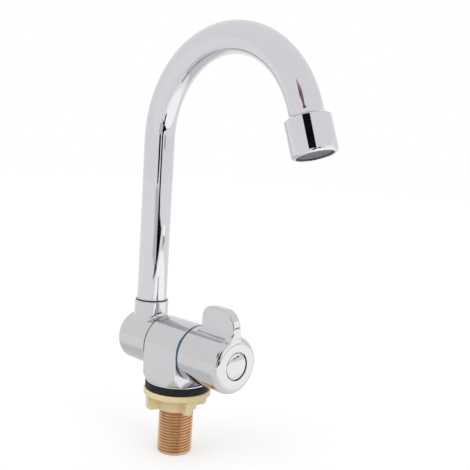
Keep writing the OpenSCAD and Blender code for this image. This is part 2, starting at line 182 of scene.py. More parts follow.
FILM = make_handling_film()
GRAIN = make_moulded_grain()
print("groups made:", FILM.name, "and", GRAIN.name)

# %% [markdown]
# ## The finishes
# Bright chrome plate reflects a little under two thirds of the light, so in a white room it looks pale
# grey and not white. There are two chromes: the tube's is painted a little lighter and the cast pieces'
# a little darker, painted light and shade for how brightly each shows in this room.
# The shank is plain brass, the nut a slightly cloudy cream nylon, the index ring a deep blue plastic and
# the gasket a black rubber. Screws and clips are dull steel, the valve's discs white ceramic. Painted
# images would fit one piece only, while nodes serve every piece at the same scale. Each material starts
# from a Principled shader with its constant values set on the sockets, and the groups drive the rest.

# %% Make the finishes
MIX_A, MIX_B, MIX_RESULT = 6, 7, 2


def linear(*srgb):
    """Screen values s of 0 to 255 as a shader takes them.

    With s as a share of 255 that is s / 12.92 up to 0.04045, and above it ((s + 0.055) / 1.055)^2.4.
    """
    share = np.array(srgb) / 255.0
    return (*np.where(share <= 0.04045, share / 12.92, ((share + 0.055) / 1.055) ** 2.4), 1.0)


def make_finish(name, light, dark, film, grain, bump, **constants):
    """A material whose colour runs from light to dark with the grain's tint.

    film is the patch scale and the clean and dull roughness, grain the grain's scale and bump the height
    of the grain in millimetres. Other sockets of the shader are set by name.
    """
    material = bpy.data.materials.new(name)
    material.use_nodes = True
    tree = material.node_tree
    shader = tree.nodes["Principled BSDF"]
    for label, value in constants.items():
        shader.inputs[label.replace("_", " ")].default_value = value
    patches = add_node(tree, "ShaderNodeGroup", node_tree=FILM)
    for label, value in zip(("Patch Scale", "Clean", "Dull"), film):
        patches.inputs[label].default_value = value
    speckle = add_node(tree, "ShaderNodeGroup", node_tree=GRAIN)
    speckle.inputs["Grain Scale"].default_value = grain
    mix = add_node(
        tree, "ShaderNodeMix", {0: speckle.outputs["Tint"], MIX_A: light, MIX_B: dark}, data_type="RGBA"
    )
    tree.links.new(mix.outputs[MIX_RESULT], shader.inputs["Base Color"])
    tree.links.new(patches.outputs["Roughness"], shader.inputs["Roughness"])
    relief = add_node(tree, "ShaderNodeBump", {
        "Height": speckle.outputs["Height"], "Strength": 1.0, "Distance": bump * MM,
    })
    tree.links.new(relief.outputs["Normal"], shader.inputs["Normal"])
    return material


# Painted light: the tube's chrome is made a little lighter than the cast pieces' chrome.
CHROME = make_finish(
    "tube_chrome_painted_lighter", linear(210, 208, 213), linear(205, 204, 208),
    film=(45, 0.03, 0.07), grain=220, bump=0.0004, Metallic=1.0,
)
# Painted shade: the cast pieces' chrome is made a little darker than the tube's chrome.
CAST_CHROME_PAINTED_DARKER = make_finish(
    "cast_chrome_painted_darker", linear(202, 202, 204), linear(196, 196, 199),
    film=(45, 0.04, 0.08), grain=220, bump=0.0004, Metallic=1.0,
)
STEEL = make_finish(
    "dull_steel", linear(136, 135, 140), linear(108, 107, 112),
    film=(300, 0.25, 0.4), grain=2500, bump=0.004, Metallic=1.0,
)
BRASS = make_finish(
    "plain_brass", linear(220, 184, 147), linear(194, 156, 119),
    film=(200, 0.14, 0.24), grain=1800, bump=0.002, Metallic=1.0,
)
RUBBER = make_finish(
    "black_rubber", linear(34, 33, 36), linear(24, 23, 26),
    film=(160, 0.45, 0.65), grain=2600, bump=0.012, Specular_IOR_Level=0.2,
)
BLUE = make_finish(
    "blue_plastic", linear(54, 96, 122), linear(36, 72, 98),
    film=(150, 0.22, 0.35), grain=1500, bump=0.003,
)
CREAM = make_finish(
    "cream_nylon", linear(238, 224, 184), linear(226, 206, 156),
    film=(90, 0.32, 0.5), grain=900, bump=0.006,
    Subsurface_Weight=0.45, Subsurface_Radius=(2.0 * MM, 1.6 * MM, 1.0 * MM),
)
BLACK = make_finish(
    "black_plastic", linear(34, 34, 36), linear(24, 24, 26),
    film=(150, 0.35, 0.5), grain=1800, bump=0.004,
)
CERAMIC = make_finish(
    "white_ceramic", linear(236, 234, 228), linear(222, 219, 210),
    film=(150, 0.15, 0.25), grain=1800, bump=0.001,
)
finishes = [CHROME, CAST_CHROME_PAINTED_DARKER, STEEL, BRASS, RUBBER, BLUE, CREAM, BLACK, CERAMIC]
print("finishes made:", [finish.name for finish in finishes])

# %% [markdown]
# ## From arrays to meshes
# Every new piece is worked out as a grid of points: rings of points that follow each other along the
# piece. The mesh is the quads between neighbouring rings. Where a ring shrinks to a point, or the last
# ring is the first again, the points fall on each other and are welded, so the skin is closed. Large
# flats next to small roundings shade best when a corner's normal leans to the larger face.

# %% Skin helpers
WELD, SLIVER, SHARP_TURN = 0.002, 0.0005, 40


def closed_mesh(name, shells):
    """A welded mesh of shells, each an array (rings, points, 3) in millimetres.

    Quad (i, j) joins the points j and j + 1 of the rings i and i + 1, and j wraps round. A shell whose
    signed volume comes out negative has its faces turned, so that they point outwards.
    """
    spots, faces, first = [], [], 0
    for rings in shells:
        count, around, _ = rings.shape
        index = first + np.arange(count * around).reshape(count, around)
        ahead_of = np.roll(index, -1, axis=1)
        quads = np.stack([index[:-1], ahead_of[:-1], ahead_of[1:], index[1:]], axis=-1).reshape(-1, 4)
        flat = rings.reshape(-1, 3)
        a, b, c, d = (flat[quads[:, k] - first] for k in range(4))
        volume = np.einsum("ij,ij->", a, np.cross(b, c)) + np.einsum("ij,ij->", a, np.cross(c, d))
        faces.append(quads if volume > 0 else quads[:, ::-1])
        spots.append(flat * MM)
        first += len(flat)
    mesh = bpy.data.meshes.new(name)
    mesh.from_pydata(np.concatenate(spots).tolist(), [], np.concatenate(faces).tolist())
    weld = bmesh.new()
    weld.from_mesh(mesh)
    bmesh.ops.remove_doubles(weld, verts=weld.verts, dist=WELD * MM)
    bmesh.ops.dissolve_degenerate(weld, edges=weld.edges, dist=SLIVER * MM)
    weld.to_mesh(mesh)
    weld.free()
    return mesh


def drilled(mesh, tool):
    """The mesh with the closed tool shape cut out of it by a Boolean modifier, which is then applied."""
    pair = [bpy.data.objects.new(part.name, part) for part in (mesh, tool)]
    for part in pair:
        bpy.context.scene.collection.objects.link(part)
    cut = pair[0].modifiers.new("drill", "BOOLEAN")
    cut.operation, cut.solver, cut.object = "DIFFERENCE", "EXACT", pair[1]
    done = bpy.data.meshes.new_from_object(pair[0].evaluated_get(bpy.context.evaluated_depsgraph_get()))
    for part in pair:
        bpy.data.objects.remove(part)
    return done


def faces_at_edges(mesh):
    """How many faces meet at each edge of the mesh."""
    loops = np.empty(len(mesh.loops), int)
    mesh.loops.foreach_get("edge_index", loops)
    return np.bincount(loops, minlength=len(mesh.edges))


def skin(name, mesh, body, slot, finish, *nodes):
    """An object from a closed mesh, smooth up to SHARP_TURN, that rides on a body in its nodes' place."""
    mesh.shade_smooth()
    mesh.set_sharp_from_angle(angle=math.radians(SHARP_TURN))
    mesh.materials.clear()
    mesh.materials.append(finish)
    piece = bpy.data.objects.new(name, mesh)
    bpy.context.scene.collection.objects.link(piece)
    even = piece.modifiers.new("even_shading", "WEIGHTED_NORMAL")
    even.keep_sharp = True
    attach(piece, body)
    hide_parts(*nodes)
    open_edges = int(np.count_nonzero(faces_at_edges(mesh) != 2))
    reach = np.array([vertex.co for vertex in mesh.vertices]) / MM
    print(name, "faces", len(mesh.polygons), "open edges", open_edges,
          "box", reach.min(0).round(1), reach.max(0).round(1))


print("points within", WELD, "mm are welded, turns above", SHARP_TURN, "degrees stay sharp")

# %% [markdown]
# ## Profiles with rounded corners, and the lathe
# Most of a tap is turned metal: a flat profile spun about an axis. A real turned corner is never sharp,
# and in chrome its small rounding draws the bright line along an edge. So a profile is given by its
# corners and each corner's rounding, and the lathe spins it about any axis.

# %% Profile and lathe helpers
STRAIGHT_ON = 0.01
QUARTER_POINTS = 7


def rounded(corners, steps=6):
    """A line through corners (u, v, rounding) with an arc at each corner but the first and the last.

    For a corner with unit directions p and q back and on, and the turn w between -p and q, the arc starts
    rounding * tan(w / 2) from the corner and turns evenly about its centre through the angle w.
    """
    spots = np.array([corner[:2] for corner in corners], float)
    line = [spots[:1]]
    share = np.linspace(0.0, 1.0, steps)[:, None]
    for before, spot, after, corner in zip(spots, spots[1:], spots[2:], corners[1:]):
        back = (before - spot) / np.linalg.norm(before - spot)
        onward = (after - spot) / np.linalg.norm(after - spot)
        turn = math.acos(float(np.clip(-back @ onward, -1.0, 1.0)))
        size = corner[2] if len(corner) > 2 else 0.0
        if size == 0.0 or turn < STRAIGHT_ON:
            line.append(spot[None])
            continue
        reach = size * math.tan(turn / 2)
        centre = spot + (back + onward) / np.linalg.norm(back + onward) * math.hypot(size, reach)
        start, stop = spot + back * reach - centre, spot + onward * reach - centre
        arc = (np.sin((1 - share) * turn) * start + np.sin(share * turn) * stop) / math.sin(turn)
        line.append(centre + arc)
    line.append(spots[-1:])
    return np.concatenate(line)


def spaced(line, gap):
    """The same line with more points, so that no two are further apart than gap."""
    run = np.concatenate([[0.0], np.cumsum(np.linalg.norm(np.diff(line, axis=0), axis=1))])
    stops = np.union1d(run, np.arange(0.0, run[-1], gap))
    return np.column_stack([np.interp(stops, run, line[:, k]) for k in range(line.shape[1])])


def turned(profile, origin, axis, around=160):
    """Spins a profile: point = origin + along * axis + radius * (cos t * side + sin t * up)."""
    axis = np.array(axis, float) / np.linalg.norm(axis)
    least = np.eye(3)[np.argmin(np.abs(axis))]
    side = np.cross(least, axis)
    side /= np.linalg.norm(side)
    up = np.cross(axis, side)
    t = np.linspace(0.0, 2 * np.pi, around, endpoint=False)[None, :, None]
    radius, along = profile[:, 0][:, None, None], profile[:, 1][:, None, None]
    return np.array(origin) + along * axis + radius * (np.cos(t) * side + np.sin(t) * up)


def oblongs(half_long, half_wide, corner, along=24, across=8):
    """Rings round oblongs with round corners, one ring for each value of the half sizes.

    Quarter arc k has its centre at (+-(half_long - corner), +-(half_wide - corner)). The straight sides
    are shares of the way from the end of one arc to the start of the next.
    """
    half_long, half_wide = np.atleast_1d(half_long)[:, None], np.atleast_1d(half_wide)[:, None]
    quarter = np.linspace(0.0, np.pi / 2, QUARTER_POINTS)
    turn = np.concatenate([quarter + k * np.pi / 2 for k in range(4)])
    east, north = (np.repeat(signs, QUARTER_POINTS) for signs in ([1, -1, -1, 1], [1, 1, -1, -1]))
    x = east * (half_long - corner) + corner * np.cos(turn)
    y = north * (half_wide - corner) + corner * np.sin(turn)
    walk = []
    for k, count in enumerate((along, across, along, across)):
        arc = QUARTER_POINTS * k + np.arange(QUARTER_POINTS)
        walk += [arc, arc[-1] + np.linspace(0.0, 1.0, count + 1)[1:-1]]
    walk = np.concatenate(walk)
    here = walk.astype(int)
    share, following = walk - here, (here + 1) % (4 * QUARTER_POINTS)
    return np.stack([v[:, here] * (1 - share) + v[:, following] * share for v in (x, y)], axis=-1)


AXIS_H = pivots["fold"][2]
FOLD_AXIS = (AXIS_H * Z_AXIS, X_AXIS)
SHANK_AXIS = (0.0 * Z_AXIS, Z_AXIS)
print("folding axis is", AXIS_H, "mm above the worktop")

# %% [markdown]
# ## The body
# The casting is an arch between the barrel and the knob that flares through a hollow cove into a round
# foot with an upright rim. It could be an extruded arch joined to a turned foot, but then the corners
# need a blend by hand. Here it is one skin: a rounded rectangle in plan, drawn out to the foot's circle
# below, with its corners cut by a cone just above the foot. Its upper half is swept round the folding
# axis, so that each point of the plan makes a quarter circle up to the ridge. The stop screw's hole is
# drilled last.

# %% Make the body
casting_low, casting_high = span("body_casting")
washer_low, washer_high = span("fold_washer")
ring_low, ring_high = span("index_ring")
SEAM_X, BODY_FRONT, BODY_R = washer_high[0], ring_low[0], casting_high[2] - AXIS_H
FOOT_R, FOOT_Z, FLARE = casting_high[0], casting_low[2], 3.9
RIM_CUT, RIM_BAND, RIM_ROUND = 0.2, 0.75, 0.15
RIM_TOP = FOOT_Z + RIM_BAND + RIM_ROUND
ROUND_IN, ROUND_UP, ROUND_LEFT, ROUND_GONE = 0.3, 0.7, 0.75, 0.4
EDGE_ROUND, PLAN_GAP = 0.7, 0.6
CORNER_TOP, CONE_SLOPE, MEET, LESSER_POWER = 13.5, 0.7, 0.5, 6
COVE_RINGS, WALL_RINGS, SIDE_RINGS, ARCH_RINGS = 20, 16, 4, 40


def body_rings():
    """Rings from the foot to the ridge.

    With q the plan's point, m its distance from the shank's axis and d = FOOT_R - m, a ring at the cove's
    angle g has the radius FOOT_R - soft(d) sin g + lesser(soft(-d), c). There soft(d), which is
    (d + sqrt(d^2 + MEET^2)) / 2, is d inside the foot's circle and near 0 outside it. The cone
    c = CONE_SLOPE * (z - RIM_TOP) cuts the corners, and lesser(a, c) = a c / (a^6 + c^6)^(1/6). The rim
    is an upright band, cut in a little below. Its rounding passes the shares ROUND_IN and ROUND_UP, and
    the share ROUND_LEFT runs out in the cove, where it ends at the angle ROUND_GONE.
    Above the folding axis the point is (q_x, q_y cos a, AXIS_H + |q_y| sin a).
    """
    half = spaced(rounded([
        (BODY_FRONT, 0.0), (BODY_FRONT, BODY_R, EDGE_ROUND), (SEAM_X, BODY_R, EDGE_ROUND), (SEAM_X, 0.0),
    ]), PLAN_GAP)
    plan = np.concatenate([half, half[-2:0:-1] * [1.0, -1.0]])
    reach = np.linalg.norm(plan, axis=1)
    heading = plan / reach[:, None]
    cove = np.linspace(0.0, np.pi / 2, COVE_RINGS)
    rim_z = FOOT_Z + np.array([0.0, 0.0, RIM_CUT, RIM_BAND, RIM_BAND + ROUND_UP * RIM_ROUND])
    flare_z = RIM_TOP + FLARE * (1 - np.cos(cove))
    wall_z = np.linspace(RIM_TOP + FLARE, CORNER_TOP, WALL_RINGS)[1:]
    side_z = np.linspace(CORNER_TOP, AXIS_H, SIDE_RINGS)[1:]
    tall = np.concatenate([rim_z, flare_z, wall_z, side_z])
    rim_shrink = [FOOT_R, RIM_CUT, 0.0, 0.0, ROUND_IN * RIM_ROUND]
    flare_shrink = RIM_ROUND * np.linspace(ROUND_LEFT, 0.0, COVE_RINGS) * (cove < ROUND_GONE)
    straight = len(wall_z) + len(side_z)
    drawn = np.concatenate([np.zeros(len(rim_z)), np.sin(cove), np.ones(straight)])
    shrink = np.concatenate([rim_shrink, flare_shrink, np.zeros(straight)])
    inset = FOOT_R - reach
    inner, outer = (0.5 * (way * inset + np.hypot(inset, MEET)) for way in (1, -1))
    cone = CONE_SLOPE * np.maximum(tall - RIM_TOP, 0.0)[:, None]
    spread = cone * outer / (cone**LESSER_POWER + outer**LESSER_POWER) ** (1 / LESSER_POWER)
    radius = FOOT_R - inner * drawn[:, None] + spread - shrink[:, None]
    lower = np.empty((len(tall), len(plan), 3))
    lower[..., :2] = radius[..., None] * heading[None]
    lower[..., 2] = tall[:, None]
    lift = np.linspace(0.0, np.pi / 2, ARCH_RINGS)[1:, None]
    upper = np.empty((len(lift), len(plan), 3))
    upper[..., 0] = plan[:, 0]
    upper[..., 1] = plan[:, 1] * np.cos(lift)
    upper[..., 2] = AXIS_H + np.abs(plan[:, 1]) * np.sin(lift)
    return np.concatenate([lower, upper])


HOLE_UNDER, HOLE_PAST, HOLE_AROUND = 2, 3, 32
screw_low, screw_high = span("stop_screw")
hole_at = (screw_low + screw_high) / 2 * [1, 0, 1]
hole_r = (screw_high[0] - screw_low[0]) / 2 + FIT
hole_floor, hole_mouth = screw_high[1] - HOLE_UNDER, BODY_R + HOLE_PAST
hole = np.array([(0.0, hole_floor), (hole_r, hole_floor), (hole_r, hole_mouth), (0.0, hole_mouth)])
hole_mesh = closed_mesh("hole", [turned(hole, hole_at, Y_AXIS, HOLE_AROUND)])
body_mesh = drilled(closed_mesh("body_shell", [body_rings()]), hole_mesh)
skin("body_shell", body_mesh, "body", "chrome", CAST_CHROME_PAINTED_DARKER, "body_casting")

# %% [markdown]
# ## The barrel and its collar
# The barrel turns on the end of the body, and the collar stands on it to take the spout. The barrel is
# plain lathe work. The collar could be a second cylinder pushed into the first, which leaves a hard
# crease. On the casting a small fillet runs round the joint, so the collar's skin starts on the barrel
# and sweeps up to the collar's wall along a short curve, for every direction round the collar.

# %% Make the barrel and the collar
barrel_low, barrel_high = span("fold_barrel")
BARREL_X, BARREL_END, BARREL_R = washer_low[0] - FIT, barrel_low[0], barrel_high[1]
BARREL_ROUND, BARREL_EDGE = 4.3, 0.45
SPOUT_X, COLLAR_TOP = pivots["spout_swivel"][0], barrel_high[2]
COLLAR_R, COLLAR_BORE, COLLAR_DEPTH, COLLAR_FILLET, COLLAR_EDGE = 10.55, 7.6, 5.0, 1.8, 0.5
CROWN_BELOW, HEM_IN, HEM_DOWN, HEM_SUNK = 1, 0.3, 1.0, 0.02
COLLAR_AROUND, FILLET_RINGS = 160, 10

barrel_profile = rounded([
    (0.0, BARREL_END), (BARREL_R, BARREL_END, BARREL_ROUND), (BARREL_R, BARREL_X, BARREL_EDGE),
    (0.0, BARREL_X),
], steps=14)
barrel_shell_mesh = closed_mesh("barrel_shell", [turned(barrel_profile, *FOLD_AXIS)])
skin("barrel_shell", barrel_shell_mesh, "barrel", "chrome", CAST_CHROME_PAINTED_DARKER, "fold_barrel")


def barrel_top(x, y):
    """Height of the barrel's upper side: AXIS_H + sqrt(R(x)^2 - y^2), with R less at the round end."""
    into = np.clip(BARREL_END + BARREL_ROUND - x, 0.0, BARREL_ROUND)
    radius = BARREL_R - BARREL_ROUND + np.sqrt(BARREL_ROUND**2 - into**2)
    return AXIS_H + np.sqrt(np.maximum(radius**2 - y**2, 0.0))


def collar_rings():
    """Rings (radius, height) about the spout's axis.

    The fillet in each direction is the curve (1-s)^2 A + 2 s (1-s) C + s^2 B, from A on the barrel, past
    C where wall and barrel would meet, to B on the wall. Its hem turns in and down below the barrel.
    """
    t = np.linspace(0.0, 2 * np.pi, COLLAR_AROUND, endpoint=False)
    foot_r = COLLAR_R + COLLAR_FILLET

    def top(radius):
        return barrel_top(SPOUT_X + radius * np.cos(t), radius * np.sin(t))

    s = np.linspace(0.0, 1.0, FILLET_RINGS)[:, None]
    bend_r = (1 - s) ** 2 * foot_r + (1 - (1 - s) ** 2) * COLLAR_R
    start, meet = top(foot_r), top(COLLAR_R)
    bend_z = (1 - s) ** 2 * start + 2 * s * (1 - s) * meet + s**2 * (meet + COLLAR_FILLET)
    floor_z = COLLAR_TOP - COLLAR_DEPTH
    crown = rounded([
        (COLLAR_R, floor_z - CROWN_BELOW), (COLLAR_R, COLLAR_TOP, COLLAR_EDGE), (COLLAR_BORE, COLLAR_TOP),
        (COLLAR_BORE, floor_z), (0.0, floor_z),
    ])
    radius = np.concatenate([[[0.0]], [[foot_r - HEM_IN]], bend_r, crown[:, :1]]) * np.ones_like(t)
    height = np.concatenate([
        np.full((1, len(t)), AXIS_H), start[None] - HEM_DOWN, bend_z - HEM_SUNK,
        crown[:, 1:] * np.ones_like(t),
    ])
    return np.stack([SPOUT_X + radius * np.cos(t), radius * np.sin(t), height], axis=-1)


collar_mesh = closed_mesh("collar", [collar_rings()])
skin("collar", collar_mesh, "barrel", "chrome", CAST_CHROME_PAINTED_DARKER, "fold_barrel")

# %% [markdown]
# ## The spout
# The swan neck is one drawn tube: a straight riser, a long even bend and a short straight end. A bevelled
# curve would do, but a circle carried along the known route gives exact rings and lets the bore be part
# of the same closed skin. Each ring stands square to the route, turned by the bend's angle.

# %% Make the spout's tube
tube_low, tube_high = span("spout_tube")
TUBE_R, TUBE_WALL, TUBE_Z, TAIL_LEN = tube_high[1], 1.2, tube_low[2], 7.0
BEND_R, BEND_STOP = 58.05, math.radians(20.0)
BEND_Z = tube_high[2] - TUBE_R - BEND_R
BEND_CENTRE = np.array([SPOUT_X + BEND_R, 0.0, BEND_Z])
OUTLET = BEND_CENTRE + BEND_R * np.array([math.cos(BEND_STOP), 0.0, math.sin(BEND_STOP)])
OUTLET_AXIS = np.array([math.sin(BEND_STOP), 0.0, -math.cos(BEND_STOP)])
RISER_RINGS, BEND_RINGS, TAIL_RINGS, TUBE_AROUND = 30, 120, 5, 96


def tube_rings():
    """Rings along the route: centre + radius * (cos t * outward + sin t * Y), out and back by the bore."""
    riser = np.linspace(TUBE_Z, BEND_Z, RISER_RINGS, endpoint=False)
    turn = np.linspace(np.pi, BEND_STOP, BEND_RINGS)
    tail = np.linspace(0.0, TAIL_LEN, TAIL_RINGS)[1:]
    angle = np.concatenate([np.full(len(riser), np.pi), turn, np.full(len(tail), BEND_STOP)])
    outward = np.stack([np.cos(angle), 0 * angle, np.sin(angle)], axis=-1)
    centre = BEND_CENTRE + BEND_R * outward
    centre[: len(riser), 2] = riser
    centre[len(riser) + len(turn):] += tail[:, None] * OUTLET_AXIS
    t = np.linspace(0.0, 2 * np.pi, TUBE_AROUND, endpoint=False)[None, :, None]
    ring = np.cos(t) * outward[:, None] + np.sin(t) * Y_AXIS
    outside = centre[:, None] + TUBE_R * ring
    bore = centre[:, None] + (TUBE_R - TUBE_WALL) * ring
    return np.concatenate([outside, bore[::-1], outside[:1]])


spout_mesh = closed_mesh("spout", [tube_rings()])
skin("spout", spout_mesh, "spout", "chrome", CHROME, "spout_tube")

# %% [markdown]
# ## The outlet's sleeve
# A turned sleeve is brazed over the tube's end, with a small hollow fillet at its shoulder, and a stream
# former screws into its mouth. It could be a thicker stretch of the tube, but the real one is a piece of
# its own with crisp edges, so it is lathe work about the outlet's slanted axis.

# %% Make the sleeve
SLEEVE_R, MOUTH_R = span("outlet_sleeve")[1][1], span("stream_former")[1][1] + FIT
SLEEVE_TOP, SLEEVE_END, SOCKET, SHELF = 2.2, 25.2, 6.0, 9.2
LIP_R, SHOULDER_H, SHOULDER_RINGS = TUBE_R + 0.03, 3.6, 10
SHOULDER_EDGE, END_EDGE, MOUTH_EDGE = 0.35, 1.6, 0.25
shoulder_r = ((SLEEVE_R - LIP_R) ** 2 + SHOULDER_H**2) / (2 * (SLEEVE_R - LIP_R))
hollow = np.linspace(0.0, math.asin(SHOULDER_H / shoulder_r), SHOULDER_RINGS)
hollow_line = np.column_stack([
    LIP_R + shoulder_r * (1 - np.cos(hollow)), SLEEVE_TOP + shoulder_r * np.sin(hollow),
])
sleeve_profile = rounded([
    (TUBE_R, SOCKET), (TUBE_R, SLEEVE_TOP), *hollow_line[:-1],
    (SLEEVE_R, SLEEVE_TOP + SHOULDER_H, SHOULDER_EDGE), (SLEEVE_R, SLEEVE_END, END_EDGE),
    (MOUTH_R, SLEEVE_END, MOUTH_EDGE), (MOUTH_R, SHELF), (TUBE_R, SHELF), (TUBE_R, SOCKET),
], steps=8)
outlet_mesh = closed_mesh("outlet", [turned(sleeve_profile, OUTLET, OUTLET_AXIS)])
skin("outlet", outlet_mesh, "spout", "chrome", CHROME, "outlet_sleeve")

# %% [markdown]
# ## The gauze
# A disc of woven wire closes the mouth. It could be a flat disc with a pattern, but a pattern stays flat
# when seen close up, so it is made of real wires, each a thin rod that waves over and under the others.

# %% Make the gauze
GAUZE_R, GAUZE_S, WIRE_R, WIRE_GAP = span("stream_mesh")[1][1], 24.1, 0.15, 0.6
WIRE_RINGS, WIRE_AROUND, LEAST_SQUARE = 60, 6, 0.3


def gauze_rings():
    """One closed rod per wire. Wire k lies at k * WIRE_GAP and waves by its radius, up and down by turns.

    Its middle line is OUTLET + k * WIRE_GAP * second + run * first + (GAUZE_S + wave) * OUTLET_AXIS.
    """
    wires = int(GAUZE_R / WIRE_GAP)
    lines = np.arange(-wires, wires + 1) * WIRE_GAP
    t = np.linspace(0.0, 2 * np.pi, WIRE_AROUND, endpoint=False)
    across = np.cross(OUTLET_AXIS, Y_AXIS)
    thick = np.full(WIRE_RINGS, WIRE_R)
    thick[[0, -1]] = 0.0
    shells = []
    for first, second, phase in ((across, Y_AXIS, 0.0), (Y_AXIS, across, np.pi)):
        ring = np.cos(t)[:, None] * second + np.sin(t)[:, None] * OUTLET_AXIS
        for number, line in enumerate(lines):
            half = math.sqrt(max(GAUZE_R**2 - line**2, LEAST_SQUARE))
            run = np.linspace(-half, half, WIRE_RINGS)
            wave = WIRE_R * np.sin(np.pi * run / WIRE_GAP + phase + np.pi * number)
            core = OUTLET + line * second + run[:, None] * first + (GAUZE_S + wave)[:, None] * OUTLET_AXIS
            shells.append(core[:, None] + thick[:, None, None] * ring[None])
    return shells


gauze_mesh = closed_mesh("gauze", gauze_rings())
skin("gauze", gauze_mesh, "spout", "steel", STEEL, "stream_mesh")

# %% [markdown]
# ## The knob
# The knob is a chromed cup with a well-rounded front edge and a shallow recess for the cap. A cylinder
# with a bevel would come close, but the cup is hollow behind, so one profile is turned for all of it.

# %% Make the knob
handle_low, handle_high = span("handle")
cap_high = span("index_cap")[1]
KNOB_X, KNOB_FRONT, KNOB_R = handle_low[0], handle_high[0], handle_high[1]
KNOB_ROUND, KNOB_EDGE = 4.5, 0.35
CAP_R, CAP_RISE, CAP_GAP = cap_high[1] - 0.08, 1.2, 0.53
CAP_EDGE = cap_high[0] - CAP_RISE
RECESS_R, RECESS_X, RECESS_EDGE = CAP_R + CAP_GAP, 45.0, 0.2
CUP_R, CUP_FLOOR = 14.5, 33.9
knob_profile = rounded([
    (0.0, CUP_FLOOR), (CUP_R, CUP_FLOOR), (CUP_R, KNOB_X), (KNOB_R, KNOB_X, KNOB_EDGE),
    (KNOB_R, KNOB_FRONT, KNOB_ROUND), (RECESS_R, KNOB_FRONT, RECESS_EDGE), (RECESS_R, RECESS_X),
    (0.0, RECESS_X),
], steps=14)
knob_cup_mesh = closed_mesh("knob_cup", [turned(knob_profile, *FOLD_AXIS)])
skin("knob_cup", knob_cup_mesh, "knob", "chrome", CAST_CHROME_PAINTED_DARKER, "handle")

# %% [markdown]
# ## The lever
# The lever is a plate with a round nose that grows out of the knob through a fillet. It could be an
# extruded plate with bevels, but its foot has to follow the round knob. So it is a stack of rings: high
# up each is a thin oblong cut by the nose and the tail, and at the foot the ring widens and drops onto
# the knob's own surface.

# %% Make the lever
LEVER_BACK, LEVER_FRONT, LEVER_TOP, LEVER_T = 21.0, 47.3, handle_high[2], 6.4
NOSE_R, TAIL_R, RIM_R, FOOT_FILLET, END_FILLET = 11.0, 7.0, 1.3, 4.0, 1.2
FOOT_IN, FOOT_SUNK, KNOB_LEAST = 1.5, 0.5, 0.01
FOOT_RINGS, PLATE_RINGS = 16, 40
FOOT_PLANE = AXIS_H + math.sqrt((KNOB_R + FOOT_FILLET) ** 2 - (LEVER_T / 2 + FOOT_FILLET) ** 2)


def knob_top(x, y):
    """Height of the knob's upper side: AXIS_H + sqrt(R(x)^2 - y^2), with R less at the front edge."""
    into = np.clip(x - KNOB_FRONT + KNOB_ROUND, 0.0, KNOB_ROUND - KNOB_LEAST)
    radius = KNOB_R - KNOB_ROUND + np.sqrt(KNOB_ROUND**2 - into**2)
    return AXIS_H + np.sqrt(np.maximum(radius**2 - y**2, 0.0))


def lever_rings():
    """Rings of an oblong with round corners, from inside the knob up to the lever's top.

    A fillet at share v of its height grows by size * (1 - sqrt(1 - (1 - v)^2)). The sides have a wide one
    over the whole foot, and the two ends a tight one in its lowest part. The height runs from the knob's
    own surface to the foot's plane, and above it the arcs of nose, tail and rim draw the oblong in. The
    first rings are sunk in the knob's wall and close along a keel.
    """
    v = 1 - np.cos(np.linspace(0.0, np.pi / 2, FOOT_RINGS))
    low = np.minimum(v * (FOOT_PLANE - AXIS_H - KNOB_R + KNOB_ROUND) / END_FILLET, 1.0)
    side_grow, end_grow = (1 - np.sqrt(1 - (1 - share) ** 2) for share in (v, low))
    rise = np.sin(np.linspace(0.0, np.pi / 2, PLATE_RINGS))[1:]
    high = FOOT_PLANE + (LEVER_TOP - FOOT_PLANE) * rise

    def cut_back(radius):
        """How far an arc of that radius, which ends at the lever's top, draws the side in."""
        return radius - np.sqrt(radius**2 - np.clip(high - LEVER_TOP + radius, 0.0, radius) ** 2)

    front = np.concatenate([LEVER_FRONT + END_FILLET * end_grow, LEVER_FRONT - cut_back(NOSE_R)])
    back = np.concatenate([LEVER_BACK - END_FILLET * end_grow, LEVER_BACK + cut_back(TAIL_R)])
    half = np.concatenate([LEVER_T / 2 + FOOT_FILLET * side_grow, LEVER_T / 2 - cut_back(RIM_R)])
    plan = oblongs((front - back) / 2, half, RIM_R)
    x = (front + back)[:, None] / 2 + plan[..., 0]
    y = plan[..., 1]
    z = np.empty_like(x)
    surface = knob_top(x[:FOOT_RINGS], y[:FOOT_RINGS]) - FIT
    z[:FOOT_RINGS] = surface + (FOOT_PLANE - surface) * v[:, None]
    z[FOOT_RINGS:] = high[:, None]
    stack = np.stack([x, y, z], axis=-1)
    flat_top = stack[-1:] * [1.0, 0.0, 1.0]
    sunk = np.minimum(stack[:1], [KNOB_FRONT - FOOT_IN, np.inf, np.inf]) - [0.0, 0.0, FOOT_SUNK]
    keel = sunk * [1.0, 0.0, 1.0]
    return np.concatenate([keel, sunk, stack, flat_top])


lever_mesh = closed_mesh("lever", [lever_rings()])
skin("lever", lever_mesh, "knob", "chrome", CAST_CHROME_PAINTED_DARKER, "handle")

# %% [markdown]
# ## The cap and the index ring
# A low domed cap closes the recess in the knob's face, with a fine dark gap round it, and a blue ring
# behind the knob says that the water is cold. Both could be cut from the knob's own skin, but they are
# separate pieces on the tap, so each is turned by itself and the gap is real.

